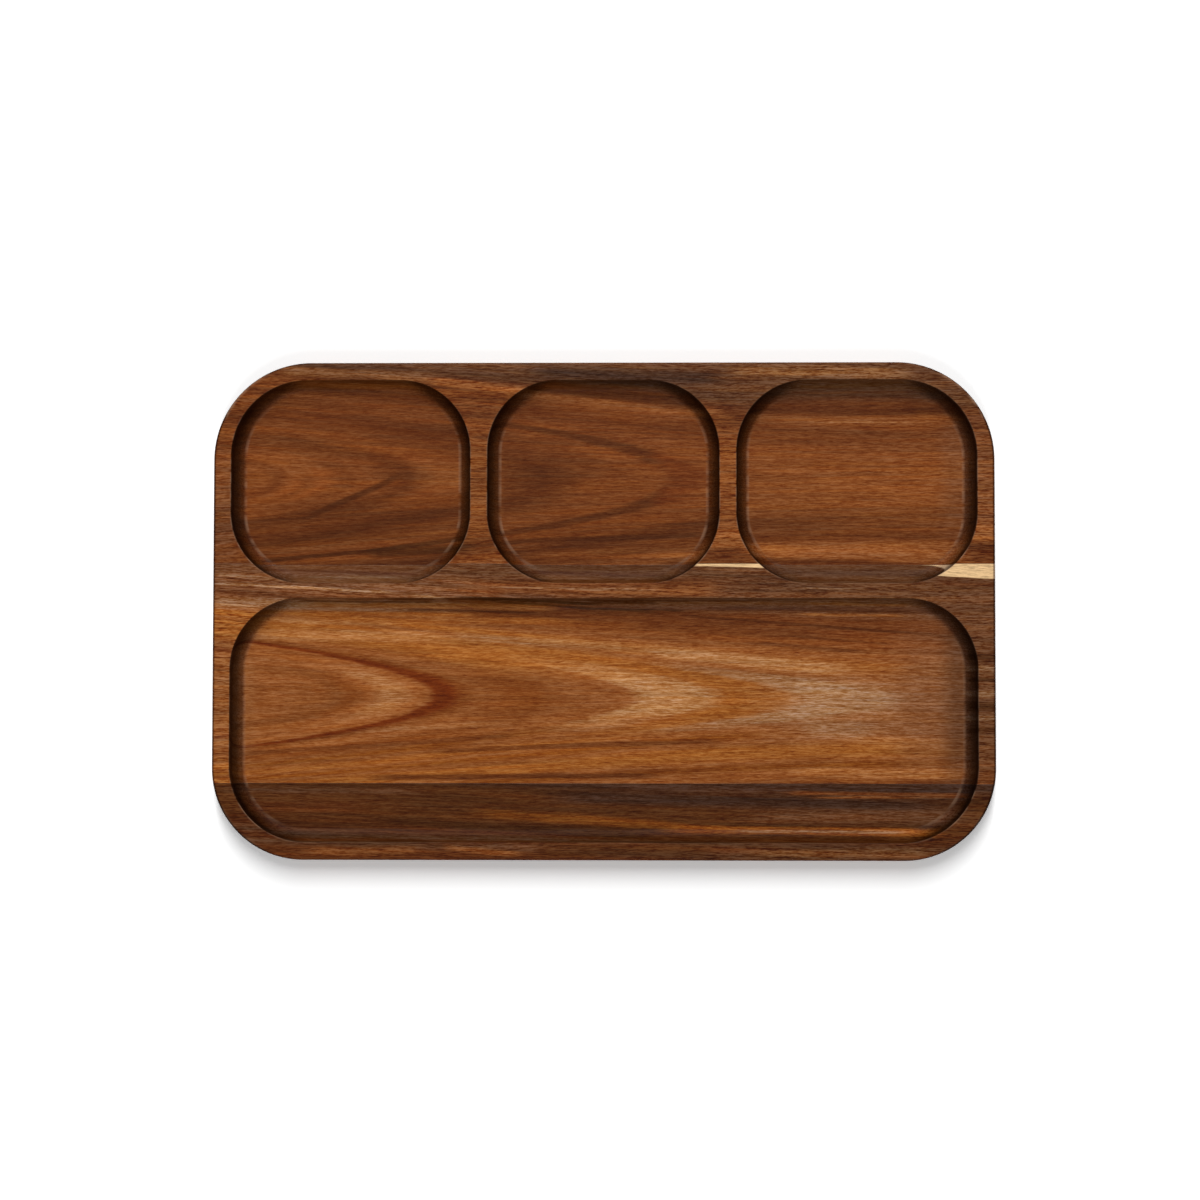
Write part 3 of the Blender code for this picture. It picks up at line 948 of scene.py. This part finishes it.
# Streaks drawn over the rings. The upper ones show only on the walls and the rims
MIDDLE_STREAKS = (
    (-215, 11, -50, 11, 6, 8, "grey", 1.12, 0.75),
    (-170, 20.6, -84, 18, 1, 12, "umber", 0.9, 0.7),
    (-150, 17, -96, 16.4, 0.7, 10, "straw", 0.7, 0.55),
    (-48, 19.6, 34, 17.6, 1.1, 12, "umber", 0.9, 0.6),
    (-60, 14.6, 60, 14.4, 1.7, 14, "umber", 0.72, 0.75),
    (62, 14.8, 178, 14.4, 1.7, 14, "umber", 0.76, 0.7),
    (88, 15.6, 160, 14.8, 1.2, 12, "umber", 1, 0.55),
    (-80, 10.5, 80, 10.5, 5.5, 30, "brown", 0.98, 0.65),
    (40, 11, 215, 11, 7, 30, "grey", 0.72, 0.8),
    (-205, 4, -62, 2, 4, 24, "straw", 0.9, 0.7),
    (-195, 13.3, -98, 8.6, 0.9, 12, "straw", 1.1, 0.85),
    (-195, 17.6, -150, 14.6, 0.9, 10, "straw", 0.8, 0.55),
    (-196, 9.6, -140, 5.2, 1, 10, "umber", 0.85, 0.7),
    (-110, 6, 80, 4.9, 0.6, 14, "umber", 0.7, 0.7),
    (-60, 5.2, 32, -0.8, 0.8, 14, "walnut", 0.9, 0.75),
    (-125, 4, -48, 0, 0.7, 12, "umber", 0.7, 0.6),
    (-56, 8.4, -16, 6.4, 1.8, 12, "plum", 1.5, 0.55),
    (-40, 9.6, 60, 8.6, 2.4, 15, "tan", 0.7, 0.5),
    (90, 10.6, 128, 10, 0.6, 10, "straw", 0.7, 0.5),
    (158, 13, 200, 12, 1.6, 10, "umber", 1.1, 0.55),
    (-176, -11.3, -72, -12.6, 3.6, 18, "pale", 1.08, 0.76),
    (-176, -11.3, -72, -12.6, 3.6, 18, "honey", 1.16, 0.35),
    (-85, -11.5, 25, -18.4, 2.8, 25, "pale", 0.88, 0.55),
    (8, -17.6, 128, -30, 4.2, 25, "pale", 1.1, 0.76),
    (-168, -4.4, -95, -6, 1.8, 18, "pale", 1, 0.65),
    (-145, -18, -78, -20.5, 1.5, 14, "brown", 0.98, 0.5),
    (-150, -0.6, -55, -1.6, 0.9, 18, "brown", 0.85, 0.55),
    (-160, -4, -4, -4.8, 2.2, 30, "honey", 1.12, 0.55),
    (-62, -0.8, 50, -3, 2, 18, "umber", 1.2, 0.34),
    (-24, 1.6, 190, 0, 2.6, 30, "umber", 0.85, 0.5),
    (0, -4.6, 130, -12.6, 4.6, 25, "russet", 0.78, 0.78),
    (95, -12.5, 180, -19, 5.5, 25, "russet", 1.12, 0.5),
    (34, -1.6, 184, -13.4, 1.1, 12, "umber", 0.78, 0.75),
    (66, -14.8, 134, -20.4, 1.4, 14, "umber", 1.05, 0.65),
    (84, -11.6, 146, -16.4, 0.9, 12, "umber", 1, 0.6),
    (-186, -70.4, -38, -60.4, 1.8, 15, "russet", 0.78, 0.78),
    (-188, -57.6, -133, -49, 2.4, 12, "brown", 0.8, 0.5),
    (-122, -58.6, -40, -54, 1.8, 20, "peach", 1, 0.5),
    (-74, -65.4, 48, -58.2, 2, 20, "tan", 0.84, 0.65),
    (-92, -68.6, 64, -62.6, 1.9, 20, "russet", 0.78, 0.84),
    (4, -54.2, 48, -50.6, 1.8, 12, "brown", 1, 0.5),
    (-122, -81.6, 34, -80, 2.1, 20, "umber", 1, 0.88),
    (-6, -78.2, 64, -77.2, 1.1, 15, "umber", 1.2, 0.6),
    (34, -78, 122, -72.4, 1.4, 15, "brown", 0.9, 0.55),
    (86, -78.4, 182, -79, 3.2, 18, "peach", 1.06, 0.6),
    (86, -78.4, 182, -79, 3.2, 18, "honey", 1.08, 0.4),
    (56, -84.4, 122, -83.8, 0.7, 12, "umber", 0.9, 0.6),
    (140, -84.4, 186, -82, 1.3, 12, "umber", 0.9, 0.6),
    (60, -48, 190, -48, 22, 45, "straw", 0.95, 0.3),
    (90, -40, 146, -43, 11, 15, "straw", 1.05, 0.55),
    (92, -56, 136, -59, 6.5, 14, "straw", 0.88, 0.5),
    # Grey-brown wood at the right end of the long floor, darker towards the end wall: partly wood tone,
    # partly painted shade
    (132, -42, 216, -42, 46, 26, "grey", 1.28, 0.75),
)
MIDDLE_UPPER_STREAKS = (
    # Painted shade: darkens the right end wall of the long compartment and its foot
    (160, -40, 230, -40, 62, 13, "grey", 0.73, 0.9),
    (174, -22, 210, -23.5, 2.3, 5, "walnut", 0.9, 0.85),
    (174, -33, 210, -34, 1.7, 5, "walnut", 0.9, 0.8),
    (174, -46, 210, -46, 3, 5, "walnut", 0.9, 0.85),
    (174, -58, 210, -57, 2.2, 5, "walnut", 1, 0.8),
    (174, -28, 210, -28.6, 1.8, 5, "straw", 0.68, 0.7),
    (174, -40, 210, -40.4, 2, 5, "straw", 0.68, 0.7),
    (174, -52, 210, -51.6, 1.8, 5, "straw", 0.68, 0.7),
    (-230, -44, -168, -44, 44, 6, "peach", 0.8, 0.3),
    (-60, 11.4, 30, 9.8, 0.9, 12, "straw", 0.74, 0.48),
    (20, 12.8, 92, 12, 0.8, 12, "umber", 0.8, 0.6),
    (60, 8.4, 150, 7.6, 0.9, 14, "tan", 0.66, 0.5),
    (-24, 6.7, 44, 6.2, 0.5, 10, "umber", 0.8, 0.45),
    (-98, 8.6, -74, 5.2, 0.9, 8, "straw", 0.9, 0.7),
    (-150, 3.4, -20, 1.6, 2, 14, "honey", 0.98, 0.72),
    (-150, -0.8, -60, -1.8, 1.4, 12, "honey", 1.2, 0.6),
    (-152, 5, -77, 4.4, 0.6, 10, "umber", 0.72, 0.75),
    (-100, 1.2, -30, -0.8, 0.7, 10, "umber", 0.85, 0.75),
    (-77, 7, 3, 3.4, 0.9, 12, "walnut", 0.86, 0.85),
    (-12, 5, 30, 4, 1.3, 8, "umber", 0.66, 0.75),
    (-20, 1.8, 44, 0.4, 0.7, 10, "walnut", 0.8, 0.8),
    (96, 3.8, 152, 3, 0.9, 10, "honey", 0.78, 0.6),
    (92, -1.4, 150, -2.2, 0.9, 10, "honey", 1.05, 0.5),
    (48, 1.6, 156, -0.2, 0.8, 12, "umber", 0.7, 0.65),
)
REAR_STREAKS = (
    (-182, 70, -132, 72, 10, 14, "tan", 0.8, 0.4),
    (-178, 40.2, -138, 47.6, 1.7, 10, "umber", 0.95, 0.65),
    (-150, 44.6, -98, 67, 2.4, 9, "umber", 0.7, 0.88),
    (-172, 31.8, -70, 50, 2.5, 15, "umber", 0.84, 0.8),
    (-172, 24.2, -96, 31.2, 1.6, 10, "umber", 0.58, 0.9),
    (-120, 28.6, -62, 36.6, 1.9, 9, "walnut", 0.92, 0.8),
    (-118, 28.4, -60, 31, 3.4, 9, "walnut", 0.9, 0.8),
    (-168, 28.2, -70, 39.8, 1.7, 12, "tan", 0.7, 0.6),
    (-148, 95.6, -116, 94.4, 1.8, 9, "umber", 1.2, 0.5),
    (-174, 88, -144, 86.4, 1.2, 9, "umber", 1.2, 0.4),
    (-98, 66, -58, 66, 9, 10, "tan", 0.86, 0.6),
    (-92, 112.8, 66, 95, 3, 14, "tan", 1.04, 0.76),
    (-36, 113, 48, 103, 1.6, 14, "umber", 0.72, 0.6),
    (-56, 33.8, 54, 38, 2, 12, "umber", 0.68, 0.85),
    (-48, 30.8, 6, 31.6, 0.8, 12, "umber", 0.8, 0.55),
    (-12, 28.8, 56, 31, 1.8, 12, "tan", 0.5, 0.6),
    (-44, 27.4, -8, 28.2, 1.3, 12, "tan", 0.8, 0.3),
    (-44, 24.2, 48, 24.4, 2.6, 12, "umber", 0.8, 0.62),
    (64, 94.4, 180, 93, 3.2, 10, "tan", 0.9, 0.6),
    (92, 93, 152, 92.6, 0.6, 12, "peach", 1, 0.6),
    (66, 88.6, 180, 85.4, 2.3, 10, "russet", 0.68, 0.6),
    (92, 102.4, 172, 101, 2, 14, "russet", 0.72, 0.5),
    (82, 107.6, 164, 107.4, 0.9, 12, "russet", 0.52, 0.6),
    (96, 64, 136, 63, 4, 12, "tan", 0.9, 0.35),
    (66, 36, 182, 36.6, 2.8, 12, "umber", 1.02, 0.75),
    (62, 30.6, 182, 25.1, 4.2, 12, "tan", 1.08, 0.75),
    (30, 62, 230, 62, 30, 45, "tan", 0.92, 0.38),
    (-165, 117.6, -78, 113, 3, 16, "peach", 0.64, 0.62),
    (-44, 116.5, 66, 112.5, 4.6, 20, "plum", 1, 0.88),
    (56, 117, 156, 115, 4, 18, "peach", 0.78, 0.6),
)
REAR_UPPER_STREAKS = (
    (-72, 62, -48, 62, 34, 6, "tan", 0.83, 0.6),
    (49, 62, 73, 62, 36, 6, "tan", 0.84, 0.22),
    (-216, 50, -176, 50, 38, 5, "grey", 1.15, 0.5),
    (160, 66, 230, 66, 44, 12, "grey", 1.08, 0.5),
)
FRONT_STREAKS = (
    (-190, -87, -84, -88, 2.4, 18, "grey", 0.7, 0.62),
    (-185, -95, -110, -96, 4, 20, "umber", 0.86, 0.7),
    (-122, -101, 34, -110.6, 2.6, 25, "walnut", 0.8, 0.85),
    (-72, -97.4, 48, -105.6, 3.2, 24, "orange", 0.72, 0.9),
    (24, -105.8, 168, -107.6, 2.6, 20, "orange", 1.4, 0.92),
    (58, -106.8, 152, -107.2, 0.9, 14, "straw", 0.92, 0.75),
    (-40, -90, 182, -95.6, 4.4, 40, "plum", 0.82, 0.88),
    (84, -88.4, 184, -89.5, 1.4, 16, "brown", 0.76, 0.7),
    (98, -90.8, 184, -90.4, 0.7, 14, "tan", 0.7, 0.7),
    (34, -102.4, 150, -101, 0.9, 18, "brown", 0.6, 0.5),
    (-150, -117, -82, -116, 3.2, 15, "tan", 0.71, 0.6),
    (-80, -114.4, -36, -118.6, 2.2, 9, "tan", 0.82, 0.75),
    (-40, -116, 60, -116, 5, 16, "walnut", 1.05, 0.75),
    (62, -118, 172, -116.6, 2.8, 20, "peach", 0.48, 0.6),
    (60, -99.5, 190, -100.5, 5.5, 30, "grey", 0.84, 0.56),
)

MIDDLE_FIGURE = {
    "field": middle_field,
    "rings": (MIDDLE_HEART_RINGS, MIDDLE_REAR_RINGS, MIDDLE_FRONT_RINGS),
    "ring_lines": (),
    "streaks": MIDDLE_STREAKS,
    "upper_streaks": MIDDLE_UPPER_STREAKS,
    "sapwood": middle_sapwood,
    "seed": 31.0,
    "ring_drift": 0.16,
    "ragged": 0.30,
    "streak_ragged": 0.7,
    "band_swing": 0.34,
    "line_swing": 0.16,
    "thread_swing": 0.60,
    "contrast": 1.0,
    "tint_share": 0.5,
    "sheen_share": 0.15,
    "roughness": 0.42,
}
REAR_FIGURE = {
    "field": rear_field,
    "rings": (REAR_HEART_RINGS, REAR_REAR_RINGS, REAR_FRONT_RINGS),
    "ring_lines": REAR_RING_LINES,
    "streaks": REAR_STREAKS,
    "upper_streaks": REAR_UPPER_STREAKS,
    "seed": 2.0,
    "ring_drift": 0.22,
    "ragged": 0.35,
    "streak_ragged": 0.6,
    "band_swing": 0.34,
    "line_swing": 0.18,
    "thread_swing": 0.55,
    "contrast": 0.95,
    "tint_share": 0.9,
    "sheen_share": 0.27,
    "roughness": 0.44,
}
FRONT_FIGURE = {
    "field": front_field,
    "rings": (FRONT_RINGS, FRONT_RINGS, FRONT_RINGS),
    "ring_lines": (),
    "streaks": FRONT_STREAKS,
    "upper_streaks": (),
    "seed": 57.0,
    "ring_drift": 1.0,
    "ragged": 0.9,
    "streak_ragged": 0.9,
    "band_swing": 0.66,
    "line_swing": 0.36,
    "thread_swing": 0.80,
    "contrast": 1.3,
    "tint_share": 0.35,
    "sheen_share": 0.22,
    "roughness": 0.46,
}


GLUE_SPOTS_PER_METRE = 140.0
GLUE_DETAIL = 3.0
GLUE_DARKEST, GLUE_LIGHTEST = 0.7, 1.4
GLUE_SMOOTHEST, GLUE_ROUGHENING = 0.30, 0.2
GLUE_BUMP_STRENGTH = 0.4
GLUE_BUMP_DEPTH = 0.03 * MM


def glue_finish():
    """Cured brown glue, a little uneven where it squeezed out and was sanded off."""
    material = bpy.data.materials.new("cured_glue")
    material.use_nodes = True
    sheet = Sheet(material.node_tree)
    place = sheet.outputs("ShaderNodeTexCoord")["Object"]
    spots = {"Vector": place, "Scale": GLUE_SPOTS_PER_METRE, "Detail": GLUE_DETAIL}
    uneven = sheet.output("ShaderNodeTexNoise", spots)
    mixed = mix_colour(sheet, uneven, paint("glue", GLUE_DARKEST), paint("glue", GLUE_LIGHTEST))
    gloss = uneven * GLUE_ROUGHENING + GLUE_SMOOTHEST
    relief = {"Strength": GLUE_BUMP_STRENGTH, "Distance": GLUE_BUMP_DEPTH, "Height": uneven}
    bump = sheet.output("ShaderNodeBump", relief)
    shader = material.node_tree.nodes["Principled BSDF"]
    for key, value in (("Base Color", mixed), ("Roughness", gloss), ("Normal", bump)):
        sheet.feed(shader.inputs[key], value)
    return material


def put_in_place(piece, node):
    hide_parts(node)
    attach(piece, "root")


def stave(node, material):
    """Makes a stave between its glued faces. A side without one is cut past the board's own side."""
    low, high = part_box(node)
    front = low[1] if low[1] > CAD_BOX[0][1] + LEVEL_SLACK else low[1] - SLICE_OVERRUN
    rear = high[1] if high[1] < CAD_BOX[1][1] - LEVEL_SLACK else high[1] + SLICE_OVERRUN
    put_in_place(routed_piece(node + "_wood", material, front, rear), node)


class TRAY_OT_rear_stave(bpy.types.Operator):
    """Makes the rear stave, which holds most of the small compartments"""

    bl_idname = "tray.rear_stave"
    bl_label = "Rear Stave"

    def execute(self, context):
        stave("rear_stave", wood("rear_acacia", REAR_FIGURE))
        return {"FINISHED"}


class TRAY_OT_middle_stave(bpy.types.Operator):
    """Makes the middle stave, which holds most of the long compartment"""

    bl_idname = "tray.middle_stave"
    bl_label = "Middle Stave"

    def execute(self, context):
        stave("middle_stave", wood("middle_acacia", MIDDLE_FIGURE))
        return {"FINISHED"}


class TRAY_OT_front_stave(bpy.types.Operator):
    """Makes the narrow dark stave along the front rim"""

    bl_idname = "tray.front_stave"
    bl_label = "Front Stave"

    def execute(self, context):
        stave("front_stave", wood("front_acacia", FRONT_FIGURE))
        return {"FINISHED"}


class TRAY_OT_glue_lines(bpy.types.Operator):
    """Makes the two films of glue between the staves"""

    bl_idname = "tray.glue_lines"
    bl_label = "Glue Lines"

    def execute(self, context):
        material = glue_finish()
        for node in ("rear_glue_line", "front_glue_line"):
            low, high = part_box(node)
            put_in_place(routed_piece(node + "_film", material, low[1], high[1]), node)
        return {"FINISHED"}


# The studio

SENSOR = 36.0
FOCAL_LENGTH = 90.0
CLIP_NEAR, CLIP_FAR = 0.01, 50.0
CAMERA_TILT = math.radians(2.825)
CAMERA_YAW = math.radians(-1.321)
CAMERA_ROLL = math.radians(-0.008)
CAMERA_SHIFT = (0.00144, -0.00504)
CAMERA_DISTANCE = 1.4558

# Each soft box: lean to the rear, distance, width, height and power in watts
REAR_LIGHT = (math.radians(34), 3.5, 0.6, 3.0, 90.0)
FRONT_LIGHT = (math.radians(-35), 3.5, 0.6, 1.6, 36.5)
AMBIENT = 0.15
FLOOR_REACH = 6.0
# The floor's lightness to the camera, and to the light that it throws back on the tray
FLOOR_WHITE = 1.36
FLOOR_BOUNCE = 0.8


def camera():
    data = bpy.data.cameras.new("camera")
    data.sensor_width = SENSOR
    data.lens = FOCAL_LENGTH
    data.clip_start = CLIP_NEAR
    data.clip_end = CLIP_FAR
    turn = (
        Matrix.Rotation(CAMERA_ROLL, 4, "Z")
        @ Matrix.Rotation(CAMERA_YAW, 4, "Y")
        @ Matrix.Rotation(-CAMERA_TILT, 4, "X")
    )
    see = Matrix.Translation((*CAMERA_SHIFT, -CAMERA_DISTANCE)) @ turn
    made = add_object("camera", data)
    made.matrix_world = Matrix.Translation((0, 0, CAD_THICKNESS)) @ see.inverted()
    bpy.context.scene.camera = made


def floor_material():
    """Plain pale floor, white to the camera, with the tray's shadow on it."""
    material, sheet = blank_material("studio_floor")
    path = sheet.outputs("ShaderNodeLightPath")
    seen = sheet.math("MAXIMUM", path["Is Camera Ray"], path["Is Glossy Ray"])
    shade = ramp(sheet, seen, 0.0, 1.0, FLOOR_BOUNCE, FLOOR_WHITE)
    tint = sheet.output("ShaderNodeCombineColor", {"Red": shade, "Green": shade, "Blue": shade})
    sheet.node("ShaderNodeOutputMaterial", {0: sheet.output("ShaderNodeBsdfDiffuse", {"Color": tint})})
    return material


def studio_floor():
    mesh = bpy.data.meshes.new("studio_floor")
    corners = [(x * FLOOR_REACH, y * FLOOR_REACH, 0) for x, y in ((-1, -1), (1, -1), (1, 1), (-1, 1))]
    mesh.from_pydata(corners, [], [(0, 1, 2, 3)])
    mesh.materials.append(floor_material())
    add_object("studio_floor", mesh)


def soft_box(name, lean, distance, width, height, power):
    """A soft box above the middle of the tray that leans back from it, and faces it."""
    data = bpy.data.lights.new(name, "AREA")
    data.shape = "RECTANGLE"
    data.size = width
    data.size_y = height
    data.energy = power
    made = add_object(name, data)
    made.matrix_world = Matrix.Rotation(-lean, 4, "X") @ Matrix.Translation((0, 0, distance))


def studio_world():
    """A white background to the camera, and a little light from all sides."""
    world = bpy.data.worlds.new("studio_world")
    bpy.context.scene.world = world
    world.use_nodes = True
    world.node_tree.nodes.clear()
    sheet = Sheet(world.node_tree)
    seen = sheet.outputs("ShaderNodeLightPath")["Is Camera Ray"]
    strength = ramp(sheet, seen, 0.0, 1.0, AMBIENT, 1.0)
    back = sheet.output("ShaderNodeBackground", {"Color": WHITE, "Strength": strength})
    sheet.node("ShaderNodeOutputWorld", {0: back})


class TRAY_OT_stage(bpy.types.Operator):
    """Makes the floor, the lights, the world and the camera"""

    bl_idname = "tray.stage"
    bl_label = "Studio"

    def execute(self, context):
        studio_floor()
        camera()
        soft_box("rear_soft_box", *REAR_LIGHT)
        soft_box("front_soft_box", *FRONT_LIGHT)
        studio_world()
        context.scene.view_settings.view_transform = "Standard"
        return {"FINISHED"}


class TRAY_PT_panel(bpy.types.Panel):
    """Lists what the tray is made of"""

    bl_idname = "TRAY_PT_panel"
    bl_label = "Serving Tray"
    bl_space_type = "VIEW_3D"
    bl_region_type = "UI"
    bl_category = "Tray"

    def draw(self, context):
        layout = self.layout
        for step in STEPS:
            layout.operator(step.bl_idname)
        for group in (context.scene.tray_shape, context.scene.tray_finish):
            column = layout.column(align=True)
            for key in group.__annotations__:
                column.prop(group, key)


STEPS = (TRAY_OT_rear_stave, TRAY_OT_middle_stave, TRAY_OT_front_stave, TRAY_OT_glue_lines, TRAY_OT_stage)
CLASSES = (TRAY_PG_shape, TRAY_PG_finish, *STEPS, TRAY_PT_panel)


def register():
    for item in CLASSES:
        bpy.utils.register_class(item)
    bpy.types.Scene.tray_shape = PointerProperty(type=TRAY_PG_shape)
    bpy.types.Scene.tray_finish = PointerProperty(type=TRAY_PG_finish)


def unregister():
    del bpy.types.Scene.tray_finish
    del bpy.types.Scene.tray_shape
    for item in reversed(CLASSES):
        bpy.utils.unregister_class(item)


def main():
    register()
    bpy.ops.tray.rear_stave()
    bpy.ops.tray.middle_stave()
    bpy.ops.tray.front_stave()
    bpy.ops.tray.glue_lines()
    bpy.ops.tray.stage()


if __name__ == "__main__":
    main()
